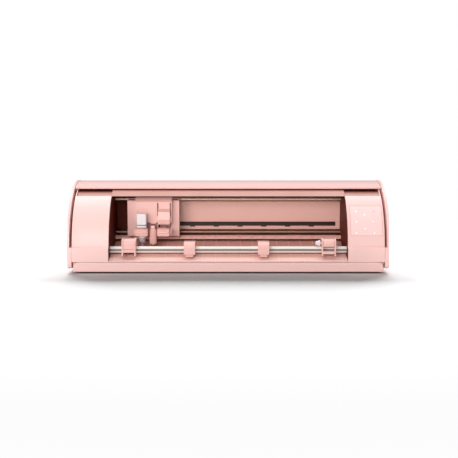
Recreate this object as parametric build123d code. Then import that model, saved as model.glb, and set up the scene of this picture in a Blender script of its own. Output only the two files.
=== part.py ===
from build123d import *
import math
import os

# A desktop vinyl cutter with its curved lid slid open. Millimetres.
# Origin: bottom centre. +X right seen from the front, +Y to the back, +Z up.

# ---- overall sizes ----
WIDTH = 570.0
DEPTH = 195.0
HEIGHT = 160.0
ARC_RADIUS = 120.0          # outline of the end caps and of everything curved inside them

# ---- housing ----
WALL = 2.5                  # plastic shell
CAP_WALL = 4.0              # outer plate of each end cap
LID_SLOT = 4.0              # slot between an end cap and the covers, for the lid's side flange
LID_FLANGE = 2.4
LID_WALL = 2.4
LID_RADIUS = 119.4          # outside of the lid
COVER_RADIUS = 115.7        # outside of header, front covers and rear cover
LID_SPAN = 62.0             # degrees, also the lid's travel
LID_PIN_R = 5.0
BAY = 65.0                  # side bay, from the work opening out to the cover's end
FRAME_WALL = 3.0            # bay frames each side of the work opening
FEET_H = 3.0
FEET_R = 8.0
LEDGE_RISE = 6.5            # ledge above the centre of the arc
LOWER_FRONT_Z = 20.0
CAP_BOTTOM_Z = 8.0
CAP_CORNER = 9.0
HEADER_RADIUS = 111.5       # the header's ends are set back under the lid's edge
HEADER_FACE = 114.4         # its middle stands further out
HEADER_TOP_DEG = 105.0
HEADER_LOW_DEG = 125.3
PANEL_LINE = 0.4            # thickness of the touch overlay, let into the right cover

# ---- drawer ----
DRAWER_END_GAP = 3.0        # drawer front to the cover's end, each side
DRAWER_TOP_Z = 19.5
TRAY_INSET = 14.0           # tray side inside the work opening
TRAY_WALL = 2.0
ROLL_R = 4.5
ROLL_Z = 11.5
DECK_Z = 17.0
DECK_T = 2.0
RUNNER_Z = 12.0
SCREW_R = 1.5

# ---- media path ----
PLATEN_Z = 31.0
RIB_PITCH = 22.6
RIB_W = 1.0
SHAFT_R = 5.5
SHAFT_IN = 39.5             # feed shaft axis behind the front
WHEEL_R = 6.0
MEDIA_GAP = 0.3
WHEEL_AXLE_R = 1.5
BAR_R = 6.0
BAR_IN = 25.5
BAR_Z = 39.5
EXIT_Z = 46.0
EXIT_H = 4.4
EXIT_INSET = 47.0           # exit slot's end inside the work opening

# ---- carriage and rails ----
TOOL_IN = 59.5              # tool axes behind the front
RAIL_R = 4.0
UPPER_RAIL_IN = 111.5
LOWER_RAIL_IN = 117.5
UPPER_RAIL_UP = 85.0        # above the centre of the arc
LOWER_RAIL_UP = 31.0        # above the platen
BEAM_IN = 122.5
BEAM_DEPTH = 24.0
BEAM_SLOT = 8.0
BEAM_SLOT_UP = 6.3          # slot above the beam's lower face
BRACKET_W = 27.0            # the beam's left end hangs on a bracket this wide
CARRIAGE_INSET = 73.0       # parked carriage's middle inside the work opening
CARRIAGE_W = 96.0
TOOL_PITCH = 40.0
TOOL_1_OFF = 19.0           # first tool left of the carriage's middle
TOOL_BORE_R = 6.5
RUN = 0.05                  # radial running clearance of shafts and slides

# ---- drives ----
GEAR_MODULE = 0.8
GEAR_TEETH = 36
PINION_TEETH = 12
DRIVE_OUT = 21.0            # feed gear and belt pulleys outside the bay frame
GEAR_W = 5.0
PULLEY_R = 6.0
BELT_T = 1.4
BELT_W = 6.0
PULLEY_PIN_R = 2.5
MOTOR_R = 17.5

# ---- pinch units ----
OUTER_LEFT_INSET = 35.0     # outer units' middles inside the work opening
OUTER_RIGHT_INSET = 33.0
MIDDLE_LEFT_X = -69.0
MIDDLE_RIGHT_X = 63.0
HOOD_HALF = 12.5            # half widths of hooded and capped units
CAP_HALF = 10.0
CHEEK = 2.4
UNIT_IN = 9.5               # unit's front behind the machine's front
UNIT_DEPTH = 34.0
HOOD_TOP = 60.0
CAP_TOP = 54.4
LEFT_FLAP_Z = 41.4          # lower edges of the hoods' front flaps
RIGHT_FLAP_Z = 46.2
LEFT_BRACE = (35.5, 41.0)   # bottom and top of the bar across a hooded unit's front
RIGHT_BRACE = (33.0, 38.0)
CAP_LOW = 32.0              # lower edge of a capped unit's front wall
EAR_Z = 29.5                # lowest point of a hooded unit's cheeks
LATCH_Z = 37.5
LATCH_HALF = 6.8
HINGE_BORE = 1.05
KNOB_Z = 51.5
KNOB_IN = 21.5
KNOB_TRAVEL = 2.0
KNOB_R = 4.8

# ---- carriage front ----
CLAMP_UP = 30.0             # clamps above the platen
CLAMP_H = 14.0
COVER_DROP = 36.0           # main cover's lower edge below the beam's top

# ---- rear, bays and panel ----
SOCKET_Z = 60.0
SOCKET_R = 5.5
DC_INSET = 27.0             # sockets' middles inside the cover's end
USB_INSET = 49.0
USB_HALF = 6.2
VENT_PITCH = 12.0
FOOT_INSET = 37.0
SCREW_INSET = 13.0
PANEL_INSET = 34.0
LAMP_R = 1.3
ROLL_1_IN = 38.0
ROLL_2_IN = 92.0

# ---- worked out from the sizes above ----
HALF = WIDTH / 2
FRONT = -DEPTH / 2
BACK = DEPTH / 2
ARC_Y = FRONT + ARC_RADIUS
ARC_Z = HEIGHT - ARC_RADIUS
CAP_IN = HALF - CAP_WALL
COVER_HALF = CAP_IN - LID_SLOT
OPENING_HALF = COVER_HALF - BAY
DRAWER_HALF = COVER_HALF - DRAWER_END_GAP
TRAY_HALF = OPENING_HALF - TRAY_INSET
EXIT_HALF = OPENING_HALF - EXIT_INSET
DC_X = COVER_HALF - DC_INSET
USB_X = COVER_HALF - USB_INSET
PANEL_MID_X = COVER_HALF - PANEL_INSET
LEDGE_Z = ARC_Z + LEDGE_RISE
BACK_WALL = BACK - WALL
SHAFT_Y = FRONT + SHAFT_IN
SHAFT_Z = PLATEN_Z - SHAFT_R
WHEEL_Z = PLATEN_Z + MEDIA_GAP + WHEEL_R
BAR_Y = FRONT + BAR_IN
TOOL_Y = FRONT + TOOL_IN
CARRIAGE_X = CARRIAGE_INSET - OPENING_HALF
TOOL_1_X = CARRIAGE_X - TOOL_1_OFF
TOOL_2_X = TOOL_1_X + TOOL_PITCH
UPPER_RAIL_Y = FRONT + UPPER_RAIL_IN
UPPER_RAIL_Z = ARC_Z + UPPER_RAIL_UP
LOWER_RAIL_Y = FRONT + LOWER_RAIL_IN
LOWER_RAIL_Z = PLATEN_Z + LOWER_RAIL_UP
BEAM_Y = FRONT + BEAM_IN
BEAM_TOP = UPPER_RAIL_Z - 5
BELT_Z = UPPER_RAIL_Z + 5
BELT_Y = BEAM_Y + 3
PULLEY_Y = BELT_Y + PULLEY_R
BAY_OUT = OPENING_HALF + FRAME_WALL
GEAR_X = BAY_OUT + DRIVE_OUT
PULLEY_X = BAY_OUT + DRIVE_OUT
BEAM_LEFT = BRACKET_W - OPENING_HALF
BEAM_LOW = LOWER_RAIL_Z + 5
GEAR_R = GEAR_MODULE * GEAR_TEETH / 2
PINION_R = GEAR_MODULE * PINION_TEETH / 2
PINION_Y = SHAFT_Y + GEAR_R + PINION_R + 0.1
LID_CLOSED_DEG = 180 - math.degrees(math.asin((LEDGE_RISE + 0.8) / LID_RADIUS))
LID_OPEN_DEG = LID_CLOSED_DEG - LID_SPAN
HEADER_LOW_Z = ARC_Z + HEADER_FACE * math.sin(math.radians(HEADER_LOW_DEG))
CAR_LEFT = CARRIAGE_X - CARRIAGE_W / 2
CAR_RIGHT = CARRIAGE_X + CARRIAGE_W / 2
PLATE_Y = UPPER_RAIL_Y - 10
COVER_Y = PLATE_Y - 30
WING_Y = PLATE_Y - 16
COVER_LOW = BEAM_TOP - COVER_DROP
CLAMP_Z0 = PLATEN_Z + CLAMP_UP
CLAMP_Z1 = CLAMP_Z0 + CLAMP_H
DEPTH_WHEEL_Y = TOOL_Y + 4
UNIT_Y0 = FRONT + UNIT_IN
UNIT_Y1 = UNIT_Y0 + UNIT_DEPTH
HINGE_Y = UNIT_Y1 - 9
HINGE_Z = HOOD_TOP - 3
LATCH_Y = UNIT_Y0 + 4.2
KNOB_Y = FRONT + KNOB_IN
SCREW_XS = (SCREW_INSET - COVER_HALF, -OPENING_HALF - 2, OPENING_HALF + 2, COVER_HALF - SCREW_INSET)
ROLL_YS = (FRONT + ROLL_1_IN, FRONT + ROLL_2_IN)

# pinch units: name, centre x, half width, kind
PINCH_UNITS = (
    ("left_outer", OUTER_LEFT_INSET - OPENING_HALF, HOOD_HALF, "hood"),
    ("left_middle", MIDDLE_LEFT_X, CAP_HALF, "cap"),
    ("right_middle", MIDDLE_RIGHT_X, CAP_HALF, "cap"),
    ("right_outer", OPENING_HALF - OUTER_RIGHT_INSET, HOOD_HALF, "hood"),
)
RIGHT_UNIT_X = PINCH_UNITS[-1][1]


# ---- helpers ----
def block(x0, x1, y0, y1, z0, z1):
    """A box given by its six faces."""
    return Pos((x0 + x1) / 2, (y0 + y1) / 2, (z0 + z1) / 2) * Box(x1 - x0, y1 - y0, z1 - z0)


def rod_x(x0, x1, y, z, radius):
    """A round bar along X."""
    return Pos((x0 + x1) / 2, y, z) * Rot(0, 90, 0) * Cylinder(radius, x1 - x0)


def rod_y(x, y0, y1, z, radius):
    """A round bar along Y."""
    return Pos(x, (y0 + y1) / 2, z) * Rot(90, 0, 0) * Cylinder(radius, y1 - y0)


def rod_z(x, y, z0, z1, radius):
    """A round bar along Z."""
    return Pos(x, y, (z0 + z1) / 2) * Cylinder(radius, z1 - z0)


def along_x(face, x0, x1):
    """A face drawn in (y, z), drawn out from x0 to x1."""
    return extrude(Plane.YZ.offset(x0) * face, amount=x1 - x0)


def outline(points):
    """A flat face from a closed list of corners."""
    return make_face(Polyline(*points, close=True))


def band(inner, outer, low_deg, high_deg):
    """A curved strip about the centre of the arc; angles run from the back over the top to the front."""
    size = high_deg - low_deg
    centre = (ARC_Y, ARC_Z)
    far = CenterArc(centre, outer, low_deg, size)
    near = CenterArc(centre, inner, low_deg, size)
    return make_face(far + near + Line(far @ 0, near @ 0) + Line(far @ 1, near @ 1))


def disc(radius):
    """A round face about the centre of the arc."""
    return Pos(ARC_Y, ARC_Z) * Circle(radius)


def rect(y0, y1, z0, z1):
    """A rectangular face in (y, z)."""
    return Pos((y0 + y1) / 2, (z0 + z1) / 2) * Rectangle(y1 - y0, z1 - z0)


def arc_deg_at_y(radius, y):
    """Angle at which a circle about the arc's centre reaches a given y on its top half."""
    return math.degrees(math.acos((y - ARC_Y) / radius))


def rib_places(half):
    """Even places of ribs or notches either side of the middle."""
    count = int(half / RIB_PITCH)
    return [i * RIB_PITCH for i in range(-count, count + 1)]


def group(solids):
    """Separate solids kept together in one node."""
    return Compound([s for piece in solids for s in piece.solids()])


def gear_face(teeth, phase_deg=0.0, thin=0.10):
    """A spur gear outline with straight-flanked teeth, drawn about its own centre."""
    pitch_r = GEAR_MODULE * teeth / 2
    step = 360.0 / teeth
    points = []
    for i in range(teeth):
        middle = phase_deg + i * step
        for offset, radius in (
            (-0.5 + thin, pitch_r - 1.2 * GEAR_MODULE),
            (-0.25 + thin / 2, pitch_r),
            (-0.11, pitch_r + 0.85 * GEAR_MODULE),
            (0.11, pitch_r + 0.85 * GEAR_MODULE),
            (0.25 - thin / 2, pitch_r),
            (0.5 - thin, pitch_r - 1.2 * GEAR_MODULE),
        ):
            angle = math.radians(middle + offset * step)
            points.append((radius * math.cos(angle), radius * math.sin(angle)))
    return outline(points)


# ---- housing ----
def end_cap(side):
    """Outer plate with the lid's pivot pin, a front block below the lid slot and a foot block."""
    plate = rect(FRONT, BACK, CAP_BOTTOM_Z, ARC_Z) + (disc(ARC_RADIUS) & rect(FRONT, BACK, ARC_Z, HEIGHT))
    plate = fillet([v for v in plate.vertices() if abs(v.Y - CAP_BOTTOM_Z) < 0.01], CAP_CORNER)
    solid = along_x(plate, CAP_IN, HALF)
    block_face = plate & rect(FRONT, FRONT + 34, CAP_BOTTOM_Z, LEDGE_Z - 0.6)
    solid += along_x(block_face, COVER_HALF + 0.3, CAP_IN)
    solid += block(COVER_HALF - 1.5, CAP_IN, FRONT + 20, BACK - 20, CAP_BOTTOM_Z, CAP_BOTTOM_Z + 8)
    solid += rod_x(COVER_HALF + 0.3, CAP_IN, ARC_Y, ARC_Z, LID_PIN_R)
    return solid if side > 0 else mirror(solid, about=Plane.YZ)


def front_cover(side):
    """Curved face above the ledge, the ledge, the upright lower front, and the outer side wall."""
    low_deg = 180 - math.degrees(math.asin(LEDGE_RISE / COVER_RADIUS))
    face = band(COVER_RADIUS - WALL, COVER_RADIUS, HEADER_LOW_DEG + 0.25, low_deg)
    ledge_in = ARC_Y - math.sqrt((COVER_RADIUS - WALL) ** 2 - LEDGE_RISE ** 2)
    face += outline([
        (ledge_in, LEDGE_Z),
        (FRONT + 1.6, LEDGE_Z),
        (FRONT, LEDGE_Z - 1.6),
        (FRONT, LOWER_FRONT_Z),
        (FRONT + WALL, LOWER_FRONT_Z),
        (FRONT + WALL, LEDGE_Z - WALL),
        (ledge_in, LEDGE_Z - WALL),
    ])
    solid = along_x(face, OPENING_HALF, COVER_HALF)
    wall = disc(COVER_RADIUS - 1) & rect(FRONT + WALL - 1, ARC_Y - 42, ARC_Z, HEIGHT)
    wall += rect(FRONT + WALL - 0.5, ARC_Y - 42, LOWER_FRONT_Z, ARC_Z)
    solid += along_x(wall, COVER_HALF - 1.5, COVER_HALF)
    if side > 0:
        solid -= panel_prism(COVER_RADIUS - PANEL_LINE)
        return solid
    return mirror(solid, about=Plane.YZ)


def panel_prism(inner):
    """The rounded outline of the touch panel, carried through the curved cover from a given radius out."""
    deg_low = 180 - math.degrees(math.asin(26.0 / COVER_RADIUS))
    deg_high = 180 - math.degrees(math.asin(78.0 / COVER_RADIUS))
    solid = along_x(band(inner, COVER_RADIUS, deg_high, deg_low), COVER_HALF - 60, COVER_HALF - 3)
    return solid


def touch_panel():
    """Thin overlay let into the right cover, with round windows for the lamps."""
    solid = panel_prism(COVER_RADIUS - PANEL_LINE + 0.001)
    for x, z, _ in PANEL_DOTS:
        solid -= rod_y(x, FRONT - 5, ARC_Y, z, LAMP_R)
    return solid


PANEL_DOTS = (
    (PANEL_MID_X - 14.5, ARC_Z + 68, "white"),
    (PANEL_MID_X, ARC_Z + 62.4, "white"),
    (PANEL_MID_X + 17, ARC_Z + 68, "blue"),
    (PANEL_MID_X - 15, ARC_Z + 50.7, "white"),
    (PANEL_MID_X + 15, ARC_Z + 50.7, "white"),
    (PANEL_MID_X, ARC_Z + 38.5, "white"),
    (PANEL_MID_X - 16, ARC_Z + 31, "white"),
    (PANEL_MID_X + 16, ARC_Z + 31, "white"),
)


def lamps(colour):
    """Small lenses that fill the windows of the overlay."""
    solids = []
    shell = along_x(band(COVER_RADIUS - PANEL_LINE + 0.001, COVER_RADIUS, 120, 178), OPENING_HALF, COVER_HALF)
    for x, z, name in PANEL_DOTS:
        if name == colour:
            solids.append(shell & rod_y(x, FRONT - 5, ARC_Y, z, LAMP_R))
    return group(solids)


def header():
    """Full-width rail over the work opening."""
    face = band(HEADER_RADIUS - 2.5, HEADER_RADIUS, HEADER_TOP_DEG, HEADER_LOW_DEG)
    face += band(HEADER_RADIUS - 2.5, COVER_RADIUS, HEADER_TOP_DEG, HEADER_TOP_DEG + 1.2)
    reach = COVER_HALF - 1.7
    middle = band(HEADER_RADIUS - 1, HEADER_FACE, HEADER_TOP_DEG + 1, HEADER_LOW_DEG)
    solid = along_x(face, -reach, reach) + along_x(middle, -OPENING_HALF, OPENING_HALF)
    return solid - block(-OPENING_HALF, OPENING_HALF, FRONT, BACK, LOWER_FRONT_Z, HEADER_LOW_Z)


def rear_cover():
    """Curved top and upright back in one shell, with side walls, a media slot and two socket holes."""
    back_deg = arc_deg_at_y(COVER_RADIUS, BACK)
    top = band(COVER_RADIUS - WALL, COVER_RADIUS, back_deg, HEADER_TOP_DEG - 0.25)
    corner_z = ARC_Z + math.sqrt((COVER_RADIUS - WALL) ** 2 - (BACK_WALL - ARC_Y) ** 2)
    top = (top + rect(BACK_WALL, BACK, LOWER_FRONT_Z - 0.5, corner_z + 1)) & rect(FRONT, BACK, 0, HEIGHT)
    solid = along_x(top, -COVER_HALF, COVER_HALF)
    wall = disc(COVER_RADIUS - 1) & rect(ARC_Y - 41.7, BACK - 1, ARC_Z, HEIGHT)
    wall += rect(ARC_Y - 41.7, BACK - 1, LOWER_FRONT_Z, ARC_Z)
    for x in (-COVER_HALF, COVER_HALF - 1.5):
        solid += along_x(wall, x, x + 1.5)
    solid -= block(-EXIT_HALF, EXIT_HALF, BACK_WALL - 2, BACK + 1, EXIT_Z - 1, EXIT_Z + EXIT_H + 2)
    solid -= rod_y(DC_X, BACK_WALL - 2, BACK + 1, SOCKET_Z, SOCKET_R)
    solid -= block(USB_X - USB_HALF, USB_X + USB_HALF, BACK_WALL - 2, BACK + 1, SOCKET_Z - 5.6, SOCKET_Z + 5.6)
    for x in range(-4, 5):
        for z in (70, 76, 82, 88):
            solid -= block(x * VENT_PITCH - 4, x * VENT_PITCH + 4, BACK_WALL - 2, BACK + 1, z, z + 2.4)
    return solid


def base_tray():
    """Deck over the drawer, with a closed box under each side bay."""
    deck = block(-OPENING_HALF + 6, OPENING_HALF - 6, FRONT + 5, BACK_WALL, DECK_Z, DECK_Z + DECK_T)
    solid = deck
    inner = TRAY_HALF + 5.5
    for side in (-1, 1):
        low, high = sorted((side * inner, side * (COVER_HALF - 1.5)))
        solid += block(low, high, FRONT + 5, BACK_WALL, FEET_H, FEET_H + 2.5)
        for x in (side * inner, side * (COVER_HALF - 1.5) - side * 2.5):
            low, high = sorted((x, x + side * 2.5))
            solid += block(low, high, FRONT + 5, BACK_WALL, FEET_H, DECK_Z + DECK_T)
        low, high = sorted((side * inner, side * (COVER_HALF - 1.5)))
        for y in (FRONT + 5, BACK_WALL - 2.5):
            solid += block(low, high, y, y + 2.5, FEET_H, DECK_Z + DECK_T)
        low, high = sorted((side * (TRAY_HALF + 2), side * inner))
        solid += block(low, high, FRONT + 5, BACK - 30, RUNNER_Z - 3, RUNNER_Z)
    for x, y in screw_places():
        solid -= rod_z(x, y, FEET_H - 1, FEET_H + 3, SCREW_R)
    return solid


def screw_places():
    """Under the side bays, two rows of screws."""
    return [(x, y) for x in SCREW_XS for y in (FRONT + 15, ARC_Y, BACK - 15)]


def frame_screws():
    """Pan-head screws that hold the base tray up into the bays."""
    screws = []
    for x, y in screw_places():
        head = rod_z(x, y, FEET_H - 1.4, FEET_H, SCREW_R * 2)
        head -= block(x - 2, x + 2, y - 0.4, y + 0.4, FEET_H - 2, FEET_H - 0.8)
        screws.append(head + rod_z(x, y, FEET_H, FEET_H + 2.5, SCREW_R))
    return group(screws)


def rubber_feet():
    """Four round feet under the side bays."""
    feet = []
    for x in (FOOT_INSET - COVER_HALF, COVER_HALF - FOOT_INSET):
        for y in (FRONT + 25, BACK - 25):
            foot = rod_z(x, y, 0, FEET_H, FEET_R)
            feet.append(chamfer(foot.edges().group_by(Axis.Z)[0], 0.8))
    return group(feet)


def bay_frames():
    """Upright plates beside the work opening that carry the rails, the pinch bar and the feed shaft.
    Each has a shelf for a belt pulley; the left one has the beam's bracket, the right one the idler's pin."""
    front, back = FRONT + WALL + 5.2, BACK_WALL - 2.8
    face = disc(HEADER_RADIUS - 2.7) & rect(front, back, ARC_Z, HEIGHT)
    face += rect(front, back, FEET_H + 2.5, ARC_Z)
    plate = along_x(face, OPENING_HALF, BAY_OUT)
    plate -= rod_x(0, HALF, UPPER_RAIL_Y, UPPER_RAIL_Z, RAIL_R)
    plate -= rod_x(0, HALF, LOWER_RAIL_Y, LOWER_RAIL_Z, RAIL_R)
    plate -= rod_x(0, HALF, BAR_Y, BAR_Z, BAR_R)
    plate -= rod_x(0, HALF, SHAFT_Y, SHAFT_Z, SHAFT_R + 2.5)
    plate -= block(0, HALF, BELT_Y - 5, BELT_Y + 2 * PULLEY_R + 5, BELT_Z - 4, BELT_Z + BELT_W + 3)
    shelf_z = BELT_Z - 8
    shelf = block(BAY_OUT, PULLEY_X + 20, BELT_Y - 8, PULLEY_Y + 20, shelf_z, shelf_z + 2.5)
    left = mirror(plate + (shelf - rod_z(PULLEY_X, PULLEY_Y, 0, HEIGHT, PULLEY_PIN_R)), about=Plane.YZ)
    left += block(-OPENING_HALF, BEAM_LEFT, BEAM_Y + 9, BEAM_Y + BEAM_DEPTH, BEAM_LOW, BEAM_TOP)
    pin = rod_z(PULLEY_X, PULLEY_Y, shelf_z, BELT_Z + BELT_W + 1, PULLEY_PIN_R - RUN)
    return group([left, plate + shelf + pin])


def shaft_bushes():
    """Flanged bushes for the feed shaft, one in each bay frame."""
    bushes = []
    for side in (-1, 1):
        low, high = sorted((side * OPENING_HALF, side * BAY_OUT))
        bush = rod_x(low, high, SHAFT_Y, SHAFT_Z, SHAFT_R + 2.5)
        low, high = sorted((side * BAY_OUT, side * (BAY_OUT + 2)))
        bush += rod_x(low, high, SHAFT_Y, SHAFT_Z, SHAFT_R + 4)
        bushes.append(bush - rod_x(-HALF, HALF, SHAFT_Y, SHAFT_Z, SHAFT_R + RUN))
    return group(bushes)


# ---- media path ----
def front_apron():
    """Sloping lip in front of the pinch bar, with thin ribs."""
    rise = PLATEN_Z - 21.5
    front, back = FRONT, FRONT + 32
    face = outline([
        (front, 20.2), (front, 21.5), (back, PLATEN_Z), (back, PLATEN_Z - 2.5), (front + 8, 20.2),
    ])
    solid = along_x(face, -OPENING_HALF + 0.3, OPENING_HALF - 0.3)
    rib = outline([
        (front + 3, 21.5 + rise * 3 / 32), (front + 3, 22.1 + rise * 3 / 32),
        (back, PLATEN_Z + 0.6), (back, PLATEN_Z - 0.2),
    ])
    for x in rib_places(OPENING_HALF - 12):
        solid += along_x(rib, x - RIB_W / 2, x + RIB_W / 2)
    return solid


def media_guide():
    """Flat platen behind the feed shaft, then a ribbed ramp up to the exit slot."""
    start = SHAFT_Y + SHAFT_R + 2
    line = [
        (start, PLATEN_Z), (TOOL_Y + 8, PLATEN_Z), (TOOL_Y + 12.5, PLATEN_Z + 4.2),
        (FRONT + 99.5, EXIT_Z), (BACK_WALL - 0.3, EXIT_Z),
    ]
    under = [(y, z - 2.5) for y, z in reversed(line)]
    solid = along_x(outline(line + under), -OPENING_HALF + 0.3, OPENING_HALF - 0.3)
    solid -= block(-OPENING_HALF, OPENING_HALF, TOOL_Y - 2.5, TOOL_Y + 2.5, PLATEN_Z - 1, PLATEN_Z + 1)
    rib = outline([
        (TOOL_Y + 12.5, PLATEN_Z + 4.0), (TOOL_Y + 12.5, PLATEN_Z + 5.0),
        (FRONT + 99.5, EXIT_Z + 0.8), (FRONT + 99.5, EXIT_Z - 0.2),
    ])
    for x in rib_places(OPENING_HALF - 12):
        solid += along_x(rib, x - RIB_W / 2, x + RIB_W / 2)
    return solid


def cutting_strip():
    """Soft strip let into the platen under the blade."""
    return block(-OPENING_HALF + 0.3, OPENING_HALF - 0.3, TOOL_Y - 2.5, TOOL_Y + 2.5, PLATEN_Z - 1, PLATEN_Z)


def exit_lip():
    """Notched bar over the exit slot, with the plate that roofs the slot back to the rear cover."""
    low = EXIT_Z + EXIT_H
    face = outline([
        (FRONT + 99.5, low), (FRONT + 99.5, low + 4), (FRONT + 102, low + 6.7),
        (FRONT + 109.5, low + 6.7), (FRONT + 112, low + 2), (BACK_WALL - 3, low + 2), (BACK_WALL - 3, low),
    ])
    solid = along_x(face, -OPENING_HALF + 0.3, OPENING_HALF - 0.3)
    for x in rib_places(OPENING_HALF - 12):
        solid -= block(x - 1.2, x + 1.2, FRONT + 99, FRONT + 104, low + 2.2, low + 8)
    return solid


def carriage_beam():
    """Box beam behind the carriage with a long slot in its face and notches along the slot."""
    right = OPENING_HALF
    slot = BEAM_LOW + BEAM_SLOT_UP
    solid = block(BEAM_LEFT, right, BEAM_Y, BEAM_Y + BEAM_DEPTH, BEAM_LOW, BEAM_TOP)
    solid -= block(BEAM_LEFT + 3, right - 3, BEAM_Y + 5, BEAM_Y + BEAM_DEPTH - 3, BEAM_LOW + 3, BEAM_TOP - 3)
    solid -= block(BEAM_LEFT + 8, right - 8, BEAM_Y - 1, BEAM_Y + 6, slot, slot + BEAM_SLOT)
    for x in rib_places(OPENING_HALF - 40)[::2]:
        solid -= block(x - 5, x + 5, BEAM_Y - 1, BEAM_Y + 2.5, slot - 1.8, slot + 1)
    lip = block(BEAM_LEFT, right, BEAM_Y - 1.5, BEAM_Y, slot + BEAM_SLOT, slot + BEAM_SLOT + 1.5)
    return solid + lip


def upper_rail():
    """Round guide rail over the carriage."""
    return rod_x(-BAY_OUT, BAY_OUT, UPPER_RAIL_Y, UPPER_RAIL_Z, RAIL_R)


def lower_rail():
    """Round guide rail behind the foot of the carriage."""
    return rod_x(-BAY_OUT, BAY_OUT, LOWER_RAIL_Y, LOWER_RAIL_Z, RAIL_R)


def pinch_bar():
    """Bar that carries the pinch units, with a shallow groove along its front."""
    solid = rod_x(-BAY_OUT, BAY_OUT, BAR_Y, BAR_Z, BAR_R)
    front = BAR_Y - BAR_R
    groove = block(-OPENING_HALF, OPENING_HALF, front - 1, front + 2.4, BAR_Z - 1.4, BAR_Z + 1.2)
    return solid - groove


# ---- drives ----
def carriage_motor():
    """Round motor under the left pulley, with its shaft."""
    top = BELT_Z - 8
    solid = rod_z(-PULLEY_X, PULLEY_Y, top - 40, top, MOTOR_R)
    solid = chamfer(solid.edges().filter_by(GeomType.CIRCLE), 1.2)
    solid += rod_z(-PULLEY_X, PULLEY_Y, top, BELT_Z + BELT_W + 1, PULLEY_PIN_R - RUN)
    return solid


def pulley(side):
    """Flanged belt pulley with a running fit on its pin."""
    x = side * PULLEY_X
    solid = rod_z(x, PULLEY_Y, BELT_Z - 0.5, BELT_Z + BELT_W + 0.5, PULLEY_R - 0.3)
    for z in (BELT_Z - 1.5, BELT_Z + BELT_W + 0.5):
        solid += rod_z(x, PULLEY_Y, z, z + 1, PULLEY_R + 2.4)
    solid -= rod_z(x, PULLEY_Y, 0, HEIGHT, PULLEY_PIN_R)
    for z in (BELT_Z + BELT_W + 0.5,):
        solid -= block(x + 4, x + 5.2, PULLEY_Y - 1, PULLEY_Y + 1, z + 0.4, z + 2)
    return solid


def drive_belt():
    """Flat loop round both pulleys."""
    outer = SlotCenterToCenter(2 * PULLEY_X, 2 * (PULLEY_R + BELT_T))
    inner = SlotCenterToCenter(2 * PULLEY_X, 2 * PULLEY_R)
    return Pos(0, PULLEY_Y, BELT_Z) * extrude(outer - inner, amount=BELT_W)


def grit_shaft():
    """Feed shaft under the pinch wheels, with a collar at its left end."""
    solid = rod_x(-BAY_OUT - 8, GEAR_X + GEAR_W + 2, SHAFT_Y, SHAFT_Z, SHAFT_R)
    solid += rod_x(-BAY_OUT - 8, -BAY_OUT - 3, SHAFT_Y, SHAFT_Z, SHAFT_R + 3)
    return chamfer(solid.faces().sort_by(Axis.X)[-1].edges(), 0.6)


def feed_gear():
    """Gear fixed on the right end of the feed shaft, with a hub towards the bay frame."""
    gear = extrude(Plane.YZ.offset(GEAR_X) * gear_face(GEAR_TEETH), amount=GEAR_W)
    gear = Pos(0, SHAFT_Y, SHAFT_Z) * gear
    gear += rod_x(BAY_OUT + 3, GEAR_X, SHAFT_Y, SHAFT_Z, SHAFT_R + 3)
    for i in range(6):
        angle = math.radians(30 + 60 * i)
        gear -= rod_x(GEAR_X - 1, GEAR_X + GEAR_W + 1, SHAFT_Y + 10.4 * math.cos(angle),
                      SHAFT_Z + 10.4 * math.sin(angle), 1.6)
    return gear - rod_x(0, HALF, SHAFT_Y, SHAFT_Z, SHAFT_R)


def motor_pinion():
    """Pinion in mesh with the feed gear."""
    face = gear_face(PINION_TEETH, 180.0 / PINION_TEETH)
    gear = extrude(Plane.YZ.offset(GEAR_X - 0.5) * face, amount=GEAR_W + 1)
    gear = Pos(0, PINION_Y, SHAFT_Z) * gear
    return gear - rod_x(0, HALF, PINION_Y, SHAFT_Z, 1.5 + RUN)


def feed_motor():
    """Round motor in the right bay with a foot plate on the bay floor."""
    start = GEAR_X + GEAR_W + 4
    solid = rod_x(start, COVER_HALF - 6, PINION_Y, SHAFT_Z, MOTOR_R)
    solid += rod_x(GEAR_X - 1.5, start, PINION_Y, SHAFT_Z, 1.5)
    solid += block(start, start + 2.5, PINION_Y - 19, PINION_Y + 19, FEET_H + 2.5, SHAFT_Z + 14)
    return solid


def control_board():
    """Upright circuit board in the right bay, on two standoffs from the bay frame."""
    x = BAY_OUT + 10
    solid = block(x, x + 1.6, FRONT + 60, BACK - 20, 75, 122)
    for y, z, width, tall in ((62, 84, 16, 12), (84, 100, 22, 14), (116, 86, 12, 10), (136, 104, 18, 9)):
        solid += block(x + 1.6, x + 4.6, FRONT + y, FRONT + y + width, z, z + tall)
    for y in (FRONT + 70, BACK - 30):
        solid += rod_x(BAY_OUT, x, y, 98, 3)
    return solid


def rear_sockets():
    """Power inlet and data socket behind the holes in the rear cover."""
    inlet = rod_y(DC_X, BACK_WALL - 12, BACK_WALL, SOCKET_Z, 8)
    inlet += rod_y(DC_X, BACK_WALL, BACK, SOCKET_Z, SOCKET_R)
    inlet -= rod_y(DC_X, BACK - 9, BACK + 1, SOCKET_Z, 3.2)
    inlet += rod_y(DC_X, BACK - 10, BACK - 1, SOCKET_Z, 1.0)
    data = block(USB_X - 7.4, USB_X + 7.4, BACK_WALL - 14, BACK_WALL, SOCKET_Z - 7, SOCKET_Z + 7)
    data += block(USB_X - USB_HALF, USB_X + USB_HALF, BACK_WALL, BACK, SOCKET_Z - 5.6, SOCKET_Z + 5.6)
    data -= block(USB_X - 4.4, USB_X + 4.4, BACK - 9, BACK + 1, SOCKET_Z - 4, SOCKET_Z + 4)
    data += block(USB_X - 2.8, USB_X + 2.8, BACK - 9.5, BACK - 1, SOCKET_Z - 1.4, SOCKET_Z + 1.4)
    return group([inlet, data])


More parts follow.
